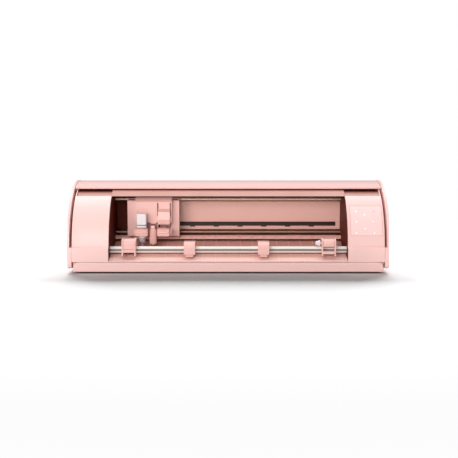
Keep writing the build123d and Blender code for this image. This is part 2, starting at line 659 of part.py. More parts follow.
# ---- pinch units ----
def cap_line(low):
    """Front, top and back corners of a capped unit's side, from a given height."""
    return [
        (UNIT_Y0, low), (UNIT_Y0, 45), (UNIT_Y0 + 1.4, 49.3), (UNIT_Y0 + 4.6, 52.6),
        (UNIT_Y0 + 9, CAP_TOP), (UNIT_Y1 - 8, CAP_TOP), (UNIT_Y1, 45),
    ]


def capped_frame(x, half):
    """Two cheeks under a smooth cap whose front wall hangs in front of the bar."""
    cheek_z = WHEEL_Z - 4.1
    side = outline(cap_line(CAP_LOW) + [(UNIT_Y1, cheek_z), (UNIT_Y0 + 3, cheek_z), (UNIT_Y0 + 2.2, CAP_LOW)])
    inner = offset(outline(cap_line(20) + [(UNIT_Y1, 20)]), amount=-2.2)
    cap = along_x(side - inner, x - half, x + half)
    cap -= block(x - half + CHEEK, x + half - CHEEK, HINGE_Y, UNIT_Y1 + 1, 20, 45)
    solid = cap + along_x(side, x - half, x - half + CHEEK) + along_x(side, x + half - CHEEK, x + half)
    return solid - rod_x(x - half - 1, x + half + 1, LATCH_Y, LATCH_Z, HINGE_BORE)


def hooded_frame(x, half, brace):
    """Two cheeks with a brace across the front and one across the back, open on top for the hood."""
    side = outline([
        (UNIT_Y0, EAR_Z), (UNIT_Y0 + 8, EAR_Z), (UNIT_Y0 + 11, WHEEL_Z - 4.1), (UNIT_Y1, WHEEL_Z - 4.1),
        (UNIT_Y1, 49), (UNIT_Y1 - 7, HOOD_TOP), (UNIT_Y0 + 8, HOOD_TOP), (UNIT_Y0 + 2, HOOD_TOP - 3),
        (UNIT_Y0, HOOD_TOP - 8),
    ])
    solid = along_x(side, x - half, x - half + CHEEK) + along_x(side, x + half - CHEEK, x + half)
    solid += block(x - half, x + half, UNIT_Y0, UNIT_Y0 + 2.5, brace[0], brace[1])
    solid += block(x - half, x + half, UNIT_Y1 - 2.5, UNIT_Y1, WHEEL_Z + 7.5, 47)
    if x == RIGHT_UNIT_X:
        solid -= rod_x(x - half - 1, x - half + CHEEK + 1, KNOB_Y, KNOB_Z, 2 + RUN)
    return solid - rod_x(x - half - 1, x + half + 1, HINGE_Y, HINGE_Z, HINGE_BORE)


def pinch_housing(x, half, kind):
    """Frame that rides on the pinch bar and carries the wheel's axle."""
    if kind == "hood":
        solid = hooded_frame(x, half, RIGHT_BRACE if x == RIGHT_UNIT_X else LEFT_BRACE)
    else:
        solid = capped_frame(x, half)
    solid -= rod_x(x - half - 1, x + half + 1, BAR_Y, BAR_Z, BAR_R + RUN)
    return solid + rod_x(x - half + 0.5, x + half - 0.5, SHAFT_Y, WHEEL_Z, WHEEL_AXLE_R)


def release_knob():
    """Stepped push knob on the left cheek of the right outer unit, with a stem through the cheek."""
    base = RIGHT_UNIT_X - HOOD_HALF - KNOB_TRAVEL - 0.4
    grip = rod_x(base - 8, base - 3, KNOB_Y, KNOB_Z, KNOB_R - 0.8)
    grip = chamfer(grip.edges().filter_by(GeomType.CIRCLE).sort_by(Axis.X)[0], 1.4)
    flange = rod_x(base - 3, base, KNOB_Y, KNOB_Z, KNOB_R + 0.6)
    return grip + flange + rod_x(base, base + 9, KNOB_Y, KNOB_Z, 2)


def pinch_wheel(x, half):
    """Rubber wheel on its axle, over the feed shaft."""
    reach = half - CHEEK - 0.6
    wheel = rod_x(x - reach, x + reach, SHAFT_Y, WHEEL_Z, WHEEL_R)
    wheel = chamfer(wheel.edges().filter_by(GeomType.CIRCLE), 0.5)
    return wheel - rod_x(x - half, x + half, SHAFT_Y, WHEEL_Z, WHEEL_AXLE_R + RUN)


def hood(x, half, low):
    """Folded hood between the cheeks, on a pin at its back edge, with a flap down its front."""
    front = UNIT_Y0 + 1
    face = outline([
        (HINGE_Y, HINGE_Z + 2), (front + 8, HINGE_Z + 2), (front + 2.6, HINGE_Z - 0.4), (front, HINGE_Z - 5),
        (front, low), (front + 2.2, low), (front + 2.2, HINGE_Z - 4.4), (front + 4.2, HINGE_Z - 1.8),
        (front + 8.6, HINGE_Z - 0.2), (HINGE_Y, HINGE_Z - 0.2),
    ])
    reach = half - CHEEK - 0.4
    solid = along_x(face, x - reach, x + reach)
    solid += rod_x(x - reach, x + reach, HINGE_Y, HINGE_Z, 2)
    return solid + rod_x(x - half + 0.4, x + half - 0.4, HINGE_Y, HINGE_Z, 1)


def latch(x):
    """Small tab under the front of a middle unit, on its own pin."""
    left, right = x - LATCH_HALF, x + LATCH_HALF
    solid = block(left, right, LATCH_Y - 1.1, LATCH_Y + 1.1, 28, LATCH_Z + 1)
    solid += block(left, right, LATCH_Y - 4, LATCH_Y + 1.1, 28, 31)
    return solid + rod_x(x - CAP_HALF + 0.4, x + CAP_HALF - 0.4, LATCH_Y, LATCH_Z, 1.0)


# ---- carriage ----
def carriage_plate():
    """Back plate with the bored block on the upper rail, the shoe on the lower rail and the belt jaw."""
    mid = CARRIAGE_X
    solid = block(CAR_LEFT, CAR_RIGHT, PLATE_Y, PLATE_Y + 3, LOWER_RAIL_Z - 3, UPPER_RAIL_Z + 3)
    solid += block(mid - 30, mid + 30, PLATE_Y + 3, UPPER_RAIL_Y + 8, UPPER_RAIL_Z - 6.5, UPPER_RAIL_Z + 6.5)
    solid += block(mid - 30, mid + 30, PLATE_Y + 3, LOWER_RAIL_Y, LOWER_RAIL_Z - 3.7, LOWER_RAIL_Z + 4.4)
    jaw_top = BELT_Z + BELT_W + 1
    back = BELT_Y + 0.5
    solid += block(mid - 8, mid + 8, UPPER_RAIL_Y + 6, UPPER_RAIL_Y + 8, BELT_Z - 2, jaw_top + 2)
    solid += block(mid - 8, mid + 8, UPPER_RAIL_Y + 6, back + 3, jaw_top, jaw_top + 2)
    solid += block(mid - 8, mid + 8, back + 0.3, back + 3, BELT_Z, jaw_top)
    solid -= rod_x(CAR_LEFT - 1, CAR_RIGHT + 1, UPPER_RAIL_Y, UPPER_RAIL_Z, RAIL_R + 2)
    solid -= rod_x(CAR_LEFT - 1, CAR_RIGHT + 1, LOWER_RAIL_Y, LOWER_RAIL_Z, RAIL_R + RUN)
    return solid


def rail_bushes():
    """Two sleeve bushes in the upper block."""
    bushes = []
    for x in (CARRIAGE_X - 30, CARRIAGE_X + 18):
        bush = rod_x(x, x + 12, UPPER_RAIL_Y, UPPER_RAIL_Z, RAIL_R + 2)
        bushes.append(bush - rod_x(x - 1, x + 13, UPPER_RAIL_Y, UPPER_RAIL_Z, RAIL_R + RUN))
    return group(bushes)


def carriage_cover():
    """Thin front shell: a bevelled main box between two set-back wings, the hood over the second
    tool and the bracket with the pin of the depth wheel."""
    top = UPPER_RAIL_Z + 6
    low = CLAMP_Z0 - 3.3
    main = outline([
        (COVER_Y, COVER_LOW), (COVER_Y, top - 9), (COVER_Y + 8, top), (PLATE_Y, top), (PLATE_Y, COVER_LOW),
    ])
    wing = outline([
        (WING_Y, low), (WING_Y, top - 8), (WING_Y + 5, top - 3), (PLATE_Y, top - 3), (PLATE_Y, low),
    ])
    solid = along_x(main, TOOL_1_X - 13, TOOL_2_X + 14) + along_x(wing, CAR_LEFT, CAR_RIGHT)
    hollow = outline([
        (COVER_Y + 2, COVER_LOW - 1), (COVER_Y + 2, top - 10), (COVER_Y + 9, top - 2),
        (PLATE_Y + 1, top - 2), (PLATE_Y + 1, COVER_LOW - 1),
    ])
    solid -= along_x(hollow, TOOL_1_X - 11, TOOL_2_X + 12)
    solid -= block(CAR_LEFT + 2, CAR_RIGHT - 2, WING_Y + 2, PLATE_Y + 1, low - 1, top - 5)
    for x in (TOOL_1_X, TOOL_2_X):
        solid -= block(x - 11.5, x + 11.5, WING_Y - 1, PLATE_Y - 3, low - 1, COVER_LOW + 0.5)
    solid -= block(TOOL_1_X - 9.5, TOOL_1_X + 9.5, COVER_Y - 1, COVER_Y + 1.2, COVER_LOW - 1, COVER_LOW + 24)
    for x in (TOOL_2_X - 12.5, TOOL_2_X + 10.5):
        solid -= block(x, x + 2, COVER_Y - 1, COVER_Y + 3, COVER_LOW + 12, top - 11)
    solid += tool_2_hood()
    arm_x = (TOOL_1_X + TOOL_2_X) / 2
    solid += block(arm_x - 5, arm_x + 5, COVER_Y, WING_Y + 2, COVER_LOW - 2, COVER_LOW + 1)
    solid += block(arm_x - 3.5, arm_x + 3.5, DEPTH_WHEEL_Y - 4, WING_Y, CLAMP_Z1 - 1.5, CLAMP_Z1 + 4)
    solid += rod_z(arm_x, DEPTH_WHEEL_Y, CLAMP_Z1 - 31, CLAMP_Z1 - 1.5, 2)
    return solid


def tool_2_hood():
    """Curved visor on the front of the cover above the second holder."""
    visor = outline([
        (COVER_Y + 1, COVER_LOW - 3), (COVER_Y - 6, COVER_LOW - 3), (COVER_Y - 8, COVER_LOW + 6),
        (COVER_Y - 6, COVER_LOW + 20), (COVER_Y + 1, COVER_LOW + 26),
    ])
    solid = along_x(visor, TOOL_2_X - 11, TOOL_2_X + 11)
    inside = outline([
        (COVER_Y - 0.5, COVER_LOW - 4), (COVER_Y - 4.3, COVER_LOW - 4), (COVER_Y - 6, COVER_LOW + 6),
        (COVER_Y - 4.5, COVER_LOW + 18), (COVER_Y - 0.5, COVER_LOW + 21),
    ])
    return solid - along_x(inside, TOOL_2_X - 9, TOOL_2_X + 9)


def depth_wheel():
    """Ribbed thumbwheel between the tools, turning on the bracket's pin."""
    x = (TOOL_1_X + TOOL_2_X) / 2
    top = CLAMP_Z1 - 1.8
    wheel = rod_z(x, DEPTH_WHEEL_Y, top - 28, top, 6.0)
    for i in range(20):
        angle = math.radians(18 * i)
        wheel += rod_z(x + 6 * math.cos(angle), DEPTH_WHEEL_Y + 6 * math.sin(angle), top - 26, top - 2, 0.5)
    return wheel - rod_z(x, DEPTH_WHEEL_Y, top - 30, top + 1, 2 + RUN)


def tool_holder(x, side):
    """Rear half of a tool clamp on its arm and sliding back plate; side is where the clamp's hinge is."""
    solid = block(x - 11.5, x + 11.5, TOOL_Y + 0.3, TOOL_Y + 11, CLAMP_Z0, CLAMP_Z1)
    solid += block(x - 8, x + 8, TOOL_Y + 11, PLATE_Y - 3.4, CLAMP_Z0 + 1, CLAMP_Z1 - 1)
    solid += block(x - 10, x + 10, PLATE_Y - 3.5, PLATE_Y - 0.3, CLAMP_Z0 - 1, CLAMP_Z0 + 50)
    pin_x = x + side * 13
    low, high = sorted((x + side * 9, pin_x))
    for z in (CLAMP_Z0, CLAMP_Z1 - 2.7):
        solid += block(low, high, TOOL_Y + 0.3, TOOL_Y + 3, z, z + 2.7)
        solid += rod_z(pin_x, TOOL_Y + 0.8, z, z + 2.7, 2.2)
    solid -= rod_z(pin_x, TOOL_Y + 0.8, CLAMP_Z0 + 2.7, CLAMP_Z1 - 2.7, 2.6)
    solid += rod_z(pin_x, TOOL_Y + 0.8, CLAMP_Z0, CLAMP_Z1, 1.1)
    return solid - rod_z(x, TOOL_Y, CLAMP_Z0 - 1, CLAMP_Z1 + 1, TOOL_BORE_R)


def tool_clamp(x, side):
    """Front half of a tool clamp, with a rounded grip, hinged on the holder's pin."""
    solid = block(x - 11.5, x + 11.5, TOOL_Y - 13, TOOL_Y - 0.3, CLAMP_Z0, CLAMP_Z1)
    solid = fillet(solid.edges().filter_by(Axis.Z).group_by(Axis.Y)[0], 5)
    solid -= rod_x(x - 20, x + 20, TOOL_Y - 19, (CLAMP_Z0 + CLAMP_Z1) / 2, 9)
    pin_x = x + side * 13
    low, high = sorted((x + side * 14, x + side * 10.4))
    solid -= block(low, high, TOOL_Y - 3, TOOL_Y + 5, CLAMP_Z0 - 1, CLAMP_Z0 + 3)
    solid -= block(low, high, TOOL_Y - 3, TOOL_Y + 5, CLAMP_Z1 - 3, CLAMP_Z1 + 1)
    low, high = sorted((x + side * 9, pin_x))
    solid += block(low, high, TOOL_Y - 1.4, TOOL_Y - 0.3, CLAMP_Z0 + 3, CLAMP_Z1 - 3)
    solid += rod_z(pin_x, TOOL_Y + 0.8, CLAMP_Z0 + 3, CLAMP_Z1 - 3, 2.2)
    solid -= rod_z(pin_x, TOOL_Y + 0.8, CLAMP_Z0, CLAMP_Z1, 1.1 + RUN)
    return solid - rod_z(x, TOOL_Y, CLAMP_Z0 - 1, CLAMP_Z1 + 1, TOOL_BORE_R)


def blade_tool():
    """Square-bodied automatic blade housing with a round shank in the first holder."""
    body = block(TOOL_1_X - 9, TOOL_1_X + 9, TOOL_Y - 9, TOOL_Y + 9, CLAMP_Z1 + 0.6, CLAMP_Z1 + 27)
    body = fillet(body.edges().filter_by(Axis.Z), 2.5)
    body = chamfer(body.edges().group_by(Axis.Z)[-1], 1)
    body -= block(TOOL_1_X - 10, TOOL_1_X + 10, TOOL_Y - 10, TOOL_Y - 8.4, CLAMP_Z1 + 5, CLAMP_Z1 + 6.4)
    return body + rod_z(TOOL_1_X, TOOL_Y, CLAMP_Z0 - 4, CLAMP_Z1 + 2, TOOL_BORE_R - RUN)


def blade_tip():
    """Ball-shaped drive wheel under the holder and the tip that carries the blade."""
    ball = Pos(TOOL_1_X, TOOL_Y, CLAMP_Z0 - 9) * Sphere(6.5)
    ball &= block(TOOL_1_X - 9, TOOL_1_X + 9, TOOL_Y - 9, TOOL_Y + 9, CLAMP_Z0 - 16, CLAMP_Z0 - 4)
    tip = rod_z(TOOL_1_X, TOOL_Y, PLATEN_Z + 6, CLAMP_Z0 - 10, 3.2)
    point = Pos(TOOL_1_X, TOOL_Y, PLATEN_Z + 4.75) * Cone(0.6, 3.2, 2.5)
    return ball + tip + point


# ---- lid ----
def lid_shell():
    """Curved lid with a thickened front edge. At each side a flange, an arm and a hub run in the end
    caps' slots."""
    low = LID_OPEN_DEG - LID_SPAN
    x0 = COVER_HALF + (LID_SLOT - LID_FLANGE) / 2
    x1 = x0 + LID_FLANGE
    solid = along_x(band(LID_RADIUS - LID_WALL, LID_RADIUS, low, LID_OPEN_DEG), -x1, x1)
    edge = band(LID_RADIUS - LID_WALL - 0.4, LID_RADIUS + 0.2, LID_OPEN_DEG - 1, LID_OPEN_DEG)
    solid += along_x(edge, -x1, x1)
    flange = band(100, LID_RADIUS - 1, low + 1, LID_OPEN_DEG - 3)
    mid = math.radians((low + LID_OPEN_DEG) / 2)
    reach = Vector(math.cos(mid), math.sin(mid))
    cross = Vector(-reach.Y, reach.X)
    corners = []
    for along, off in ((0, -8), (104, -8), (104, 8), (0, 8)):
        corners.append((ARC_Y + reach.X * along + cross.X * off, ARC_Z + reach.Y * along + cross.Y * off))
    flange = flange + outline(corners) + disc(11)
    flange -= disc(LID_PIN_R + RUN)
    solid += along_x(flange, x0, x1)
    solid += along_x(flange, -x1, -x0)
    return solid


# ---- drawer ----
def drawer_front():
    """Front panel of the roll drawer with round top corners."""
    panel = Rectangle(2 * DRAWER_HALF, DRAWER_TOP_Z - FEET_H)
    panel = fillet(panel.vertices().group_by(Axis.Y)[-1], 9)
    solid = extrude(Plane.XZ.offset(-FRONT) * panel, amount=-3)
    return Pos(0, 0, (DRAWER_TOP_Z + FEET_H) / 2) * solid


def drawer_tray():
    """Low tray behind the front panel, with side lips on the base's runners and holes for the rollers."""
    y0, y1 = FRONT + 3, BACK - 35
    solid = block(-TRAY_HALF, TRAY_HALF, y0, y1, 4, 5.5)
    for side in (-1, 1):
        low, high = sorted((side * TRAY_HALF, side * (TRAY_HALF - TRAY_WALL)))
        solid += block(low, high, y0, y1, 4, 16)
        low, high = sorted((side * TRAY_HALF, side * (TRAY_HALF + 5.2)))
        solid += block(low, high, y0 + 4, y1, RUNNER_Z + 0.3, RUNNER_Z + 2)
    solid += block(-TRAY_HALF, TRAY_HALF, y1 - 2, y1, 4, 16)
    solid += block(-TRAY_HALF, TRAY_HALF, y0, y0 + 2, 4, 16)
    for y in ROLL_YS:
        solid -= rod_x(-HALF, HALF, y, ROLL_Z, 2.0 + RUN)
    return solid


def support_roller(y):
    """Free-turning roller that a roll of film rests on."""
    inner = TRAY_HALF - TRAY_WALL
    return rod_x(-inner + 0.5, inner - 0.5, y, ROLL_Z, ROLL_R) + rod_x(-TRAY_HALF, TRAY_HALF, y, ROLL_Z, 2.0)


def main():
    os.makedirs("parts", exist_ok=True)
    nodes = {
        "base_tray": base_tray(),
        "rubber_feet": rubber_feet(),
        "frame_screws": frame_screws(),
        "rear_cover": rear_cover(),
        "header": header(),
        "left_end_cap": end_cap(-1),
        "right_end_cap": end_cap(1),
        "left_front_cover": front_cover(-1),
        "right_front_cover": front_cover(1),
        "touch_panel": touch_panel(),
        "indicator_lights": lamps("white"),
        "power_light": lamps("blue"),
        "bay_frames": bay_frames(),
        "shaft_bushes": shaft_bushes(),
        "front_apron": front_apron(),
        "media_guide": media_guide(),
        "cutting_strip": cutting_strip(),
        "exit_lip": exit_lip(),
        "carriage_beam": carriage_beam(),
        "upper_rail": upper_rail(),
        "lower_rail": lower_rail(),
        "pinch_bar": pinch_bar(),
        "carriage_motor": carriage_motor(),
        "drive_belt": drive_belt(),
        "drive_pulley": pulley(-1),
        "idler_pulley": pulley(1),
        "feed_motor": feed_motor(),
        "motor_pinion": motor_pinion(),
        "grit_shaft": grit_shaft(),
        "feed_gear": feed_gear(),
        "control_board": control_board(),
        "rear_sockets": rear_sockets(),
        "release_knob": release_knob(),
        "carriage_plate": carriage_plate(),
        "rail_bushes": rail_bushes(),
        "carriage_cover": carriage_cover(),
        "depth_wheel": depth_wheel(),
        "tool_1_holder": tool_holder(TOOL_1_X, -1),
        "tool_1_clamp": tool_clamp(TOOL_1_X, -1),
        "blade_tool": blade_tool(),
        "blade_tip": blade_tip(),
        "tool_2_holder": tool_holder(TOOL_2_X, 1),
        "tool_2_clamp": tool_clamp(TOOL_2_X, 1),
        "lid_shell": lid_shell(),
        "drawer_front": drawer_front(),
        "drawer_tray": drawer_tray(),
        "front_support_roller": support_roller(ROLL_YS[0]),
        "rear_support_roller": support_roller(ROLL_YS[1]),
    }
    for name, x, half, kind in PINCH_UNITS:
        nodes[name + "_housing"] = pinch_housing(x, half, kind)
        nodes[name + "_wheel"] = pinch_wheel(x, half)
        if kind == "cap":
            nodes[name + "_latch"] = latch(x)
    nodes["left_outer_hood"] = hood(*PINCH_UNITS[0][1:3], LEFT_FLAP_Z)
    nodes["right_outer_hood"] = hood(*PINCH_UNITS[3][1:3], RIGHT_FLAP_Z)
    for name, shape in nodes.items():
        export_step(shape, f"parts/{name}.step")
    print(len(nodes), "nodes")


main()
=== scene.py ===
# %% [markdown]
# # A desktop vinyl cutter, dressed in plastic, steel and light
# The machine's frame is already built: every panel, rail, roller and knob is a CAD solid at its real place.
# This notebook gives each one its finish, adds two sculpted finger grips that are easier to grow from a
# formula than to machine, and lights the whole on a pale table.

import bpy
import numpy as np
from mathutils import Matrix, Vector


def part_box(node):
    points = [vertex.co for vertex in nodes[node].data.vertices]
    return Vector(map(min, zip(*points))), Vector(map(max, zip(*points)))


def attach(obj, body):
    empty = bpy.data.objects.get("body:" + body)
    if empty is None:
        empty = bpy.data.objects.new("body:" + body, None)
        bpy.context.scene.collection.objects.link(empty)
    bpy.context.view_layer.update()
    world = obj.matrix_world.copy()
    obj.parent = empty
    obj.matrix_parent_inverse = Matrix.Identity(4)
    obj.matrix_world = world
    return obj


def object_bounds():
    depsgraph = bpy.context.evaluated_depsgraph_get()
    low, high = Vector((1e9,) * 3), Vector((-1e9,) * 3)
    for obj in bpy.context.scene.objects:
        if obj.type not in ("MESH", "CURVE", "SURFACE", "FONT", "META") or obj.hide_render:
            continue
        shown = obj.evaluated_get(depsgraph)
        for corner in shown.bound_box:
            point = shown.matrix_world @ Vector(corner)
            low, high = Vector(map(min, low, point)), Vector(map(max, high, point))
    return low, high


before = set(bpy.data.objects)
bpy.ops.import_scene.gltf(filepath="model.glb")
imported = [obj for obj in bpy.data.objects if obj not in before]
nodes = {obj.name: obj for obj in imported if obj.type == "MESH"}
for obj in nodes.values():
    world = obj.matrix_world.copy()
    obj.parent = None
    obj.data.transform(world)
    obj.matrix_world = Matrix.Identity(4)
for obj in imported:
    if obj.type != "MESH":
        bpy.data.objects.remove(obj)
cad_box = [list(corner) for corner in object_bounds()]
top_z = float(cad_box[1][2])
MM = 0.001
print("nodes", len(nodes), "box", cad_box)


# %% [markdown]
# ## Small tools for every finish
# Colours are chosen as sRGB hex, the way a paint chart gives them, but the renderer counts light in linear
# values, so one function turns them. A second function adds any shader node with its settings and its links;
# with it a material reads from top to bottom like a recipe. Two more paint over a base colour: bands lie
# between two bounds on one axis, and ribs are narrow stripes at an even pitch.

# %% Colour and node helpers
def linear(hex_colour):
    """An sRGB hex colour as linear RGBA: below 0.04045 divided by 12.92, above it the 2.4 power curve."""
    srgb = np.array([int(hex_colour[i:i + 2], 16) for i in (1, 3, 5)]) / 255
    rgb = np.where(srgb <= 0.04045, srgb / 12.92, ((srgb + 0.055) / 1.055) ** 2.4)
    return (*rgb.tolist(), 1.0)


def add(tree, kind, inputs=None, **settings):
    """Adds one node. An input that is another node's output is linked, anything else is set."""
    node = tree.nodes.new(kind)
    for key, value in settings.items():
        setattr(node, key, value)
    for key, value in (inputs or {}).items():
        if isinstance(value, bpy.types.NodeSocket):
            tree.links.new(value, node.inputs[key])
        else:
            node.inputs[key].default_value = value
    return node


def start(name):
    """An empty material, and the piece's own coordinates in metres; close() adds its output."""
    material = bpy.data.materials.new(name)
    material.use_nodes = True
    tree = material.node_tree
    tree.nodes.clear()
    place = add(tree, "ShaderNodeTexCoord").outputs["Object"]
    return material, tree, place


def paint_bands(tree, place, colour, bands):
    """Mixes other colours in where one coordinate lies between two bounds, in metres, with soft edges.
    Each band is (axis, low, high, edge, colour, share)."""
    axes = add(tree, "ShaderNodeSeparateXYZ", {"Vector": place}).outputs
    for axis, start_at, end_at, edge, tint, share in bands:
        rise = add(tree, "ShaderNodeMapRange", {"Value": axes[axis], "From Min": start_at - edge,
                                                "From Max": start_at + edge, "To Max": share})
        fall = add(tree, "ShaderNodeMapRange", {"Value": axes[axis], "From Min": end_at - edge,
                                                "From Max": end_at + edge, "To Min": 1.0, "To Max": 0.0})
        inside = add(tree, "ShaderNodeMath", {0: rise.outputs[0], 1: fall.outputs[0]}, operation="MULTIPLY")
        colour = add(tree, "ShaderNodeMix", {"Factor": inside.outputs[0], "A": colour, "B": linear(tint)},
                     data_type="RGBA").outputs["Result"]
    return colour


def paint_ribs(tree, place, colour, pitch, width, tint, share):
    """Lightens narrow stripes across X at every pitch: the distance to the nearest multiple is compared."""
    across = add(tree, "ShaderNodeSeparateXYZ", {"Vector": place}).outputs["X"]
    folded = add(tree, "ShaderNodeMath", {0: across, 1: pitch / 2, 2: -pitch / 2}, operation="WRAP")
    away = add(tree, "ShaderNodeMath", {0: folded.outputs[0]}, operation="ABSOLUTE")
    near = add(tree, "ShaderNodeMapRange", {"Value": away.outputs[0], "From Min": width * 0.35,
                                            "From Max": width * 0.65, "To Min": share, "To Max": 0.0})
    return add(tree, "ShaderNodeMix", {"Factor": near.outputs[0], "A": colour, "B": linear(tint)},
               data_type="RGBA").outputs["Result"]


def close(tree, shader):
    """Links the shader to the material's output."""
    add(tree, "ShaderNodeOutputMaterial", {"Surface": shader.outputs[0]})


# %% [markdown]
# ## Moulded plastic
# The housing is ABS from a spark-eroded mould: a soft satin skin with a grain about half a millimetre across.
# That grain is too fine for this view, so it is drawn at about one millimetre. Real mouldings are never one
# flat tone either: the pigment flows, so a slow drift of two close colours runs through each panel.
# A rounded-edge normal lets each thin edge catch the light as a moulded radius does.
# Some finishes carry bands, which are paint and not shape: the inside of the beam and the header behind its
# front edge carry painted shade, dark so that both gaps read as deep. The lid has a thin seam line, the touch
# panel a thin outline, the blade tool two rings and the bar a painted-shade stripe along its groove. Guide
# and apron carry ribs. The header's whole tone is also darkened as painted shade from the lid.

# %% Moulded plastic, used for every plastic piece and the satin bar
def moulded_plastic(name, light, dark, roughness, grain_mm=1.0, drift_mm=70.0, edge_mm=0.6, grain=0.05,
                    coat=0.0, bands=(), ribs=None):
    """ABS: base colour drifts between two tones, roughness follows it, grain is a fine bump on soft edges."""
    material, tree, place = start(name)
    drift = add(tree, "ShaderNodeTexNoise", {"Vector": place, "Scale": 1 / (drift_mm * MM), "Detail": 3.0})
    tone = add(tree, "ShaderNodeMix", {"Factor": drift.outputs["Fac"], "A": linear(light), "B": linear(dark)},
               data_type="RGBA")
    rough = add(tree, "ShaderNodeMapRange", {"Value": drift.outputs["Fac"], "From Min": 0.3, "From Max": 0.7,
                                            "To Min": roughness - 0.04, "To Max": roughness + 0.04})
    colour = paint_bands(tree, place, tone.outputs["Result"], bands)
    if ribs:
        colour = paint_ribs(tree, place, colour, *ribs)
    skin = add(tree, "ShaderNodeTexNoise", {"Vector": place, "Scale": 1 / (grain_mm * MM), "Detail": 2.0})
    soft = add(tree, "ShaderNodeBevel", {"Radius": edge_mm * MM}, samples=4)
    bump = add(tree, "ShaderNodeBump", {"Height": skin.outputs["Fac"], "Strength": grain,
                                       "Distance": 0.2 * MM, "Normal": soft.outputs[0]})
    shader = add(tree, "ShaderNodeBsdfPrincipled", {
        "Base Color": colour, "Roughness": rough.outputs[0], "IOR": 1.53,
        "Coat Weight": coat, "Coat Roughness": 0.15, "Normal": bump.outputs[0]})
    close(tree, shader)
    return material


lid_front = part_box("lid_shell")[0][1]
beam_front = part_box("carriage_beam")[0][1]
tool_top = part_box("blade_tool")[1][2]
panel_low, panel_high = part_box("touch_panel")
BEHIND_ALL = 0.2
RIB_PITCH = 22.6 * MM
RIB_WIDTH = 1.5 * MM
RIBS = (RIB_PITCH, RIB_WIDTH, "#FBE0D9", 0.55)
PANEL_LINE = 0.8 * MM
LINE_LOOK = (0.1 * MM, "#DFA49D", 0.8)
panel_edges = (
    ("X", panel_low[0], panel_low[0] + PANEL_LINE, *LINE_LOOK),
    ("X", panel_high[0] - PANEL_LINE, panel_high[0], *LINE_LOOK),
    ("Z", panel_low[2], panel_low[2] + PANEL_LINE, *LINE_LOOK),
    ("Z", panel_high[2] - PANEL_LINE, panel_high[2], *LINE_LOOK))
seam_line = ("Y", lid_front + 7 * MM, lid_front + 7.8 * MM, 0.2 * MM, "#D99A92", 0.6)
# Painted shade on the header behind the lid's front edge, where the lid's shadow falls.
header_painted_shade_band = ("Y", lid_front + 2 * MM, BEHIND_ALL, 0.4 * MM, "#44100A", 1.0)
# Painted shade inside the beam: dark brown deeper than 2.2 mm behind its front face, where shadow falls.
beam_painted_shade_band = ("Y", beam_front + 2.2 * MM, BEHIND_ALL, 0.5 * MM, "#3C0C06", 1.0)
tool_rings = (
    ("Z", tool_top - 22.4 * MM, tool_top - 20.4 * MM, 0.3 * MM, "#7C7477", 1.0),
    ("Z", tool_top - 27.0 * MM, tool_top - 24.6 * MM, 0.3 * MM, "#B4ABAE", 0.8))
blush = moulded_plastic("moulded_abs_blush", "#F6CEC9", "#F3C8C3", 0.42)
blush_lid = moulded_plastic("polished_abs_blush", "#F6CCC8", "#F3C7C2", 0.24, grain=0.02, coat=0.25,
                            bands=(seam_line,))
blush_inside = moulded_plastic("moulded_abs_inner_rose", "#EAB6AA", "#E5AFA2", 0.40)
# The header is the housing plastic darkened as painted shade from the lid above it, with a darker
# painted-shade band behind the lid's edge.
blush_header_painted_shade = moulded_plastic("moulded_abs_header_painted_shade", "#C08A7E", "#BA8276", 0.5,
                               bands=(header_painted_shade_band,))
blush_beam_painted_shade = moulded_plastic("beam_rose_painted_shade", "#EAB6AA", "#E5AFA2", 0.42, bands=(beam_painted_shade_band,))
blush_ribbed = moulded_plastic("moulded_abs_ribbed_guide", "#E3AA9C", "#DEA192", 0.42, ribs=RIBS)
blush_apron = moulded_plastic("moulded_abs_ribbed_apron", "#F6CBC3", "#F2C3BA", 0.36, ribs=RIBS)
blush_small = moulded_plastic("moulded_abs_small_parts", "#F3C2BA", "#EFBCB3", 0.34, drift_mm=18, edge_mm=0.5)
white_abs = moulded_plastic("moulded_abs_white", "#EDE6E8", "#E2DADD", 0.30, drift_mm=12)
white_tool = moulded_plastic("moulded_abs_white_tool", "#EDE6E8", "#E2DADD", 0.30, drift_mm=12,
                             bands=tool_rings)
lilac_pom = moulded_plastic("moulded_acetal_lilac", "#CDB4BA", "#C2A8AF", 0.30, drift_mm=8)
nylon = moulded_plastic("moulded_nylon_natural", "#EFEBDF", "#E5E0D2", 0.38, drift_mm=10)
black_abs = moulded_plastic("moulded_abs_black", "#1B1918", "#141211", 0.45, drift_mm=20)
print("plastics", len(bpy.data.materials))


# %% [markdown]
# ## Turned, ground and rolled metal
# A guide rail is ground steel: fine scratches run round it, so it shines in a long soft line. The feed shaft
# is coarser and the motor cans are turned. All are the same recipe: a noise that is squeezed in one direction
# makes the lines, and it drives both the roughness and a very shallow bump. The pinch bar has a satin film.

# %% Lined metal, for rails, shaft, bushes, screws and motor cans
def lined_metal(name, light, dark, roughness, stretch, line_mm=0.5, bump_depth=0.03):
    """Metal whose noise is squeezed by stretch (x, y, z); lines lie along the smallest number."""
    material, tree, place = start(name)
    squeezed = add(tree, "ShaderNodeMapping", {"Vector": place, "Scale": stretch})
    lines = add(tree, "ShaderNodeTexNoise", {"Vector": squeezed.outputs[0], "Scale": 1 / (line_mm * MM),
                                             "Detail": 4.0})
    tone = add(tree, "ShaderNodeMix", {"Factor": lines.outputs["Fac"], "A": linear(light), "B": linear(dark)},
               data_type="RGBA")
    rough = add(tree, "ShaderNodeMapRange", {
        "Value": lines.outputs["Fac"], "From Min": 0.3, "From Max": 0.7,
        "To Min": max(roughness - 0.08, 0.03), "To Max": roughness + 0.08})
    bump = add(tree, "ShaderNodeBump", {"Height": lines.outputs["Fac"], "Strength": 0.3,
                                       "Distance": bump_depth * MM})
    shader = add(tree, "ShaderNodeBsdfPrincipled", {
        "Base Color": tone.outputs["Result"], "Metallic": 1.0, "Roughness": rough.outputs[0],
        "Normal": bump.outputs[0]})
    close(tree, shader)
    return material


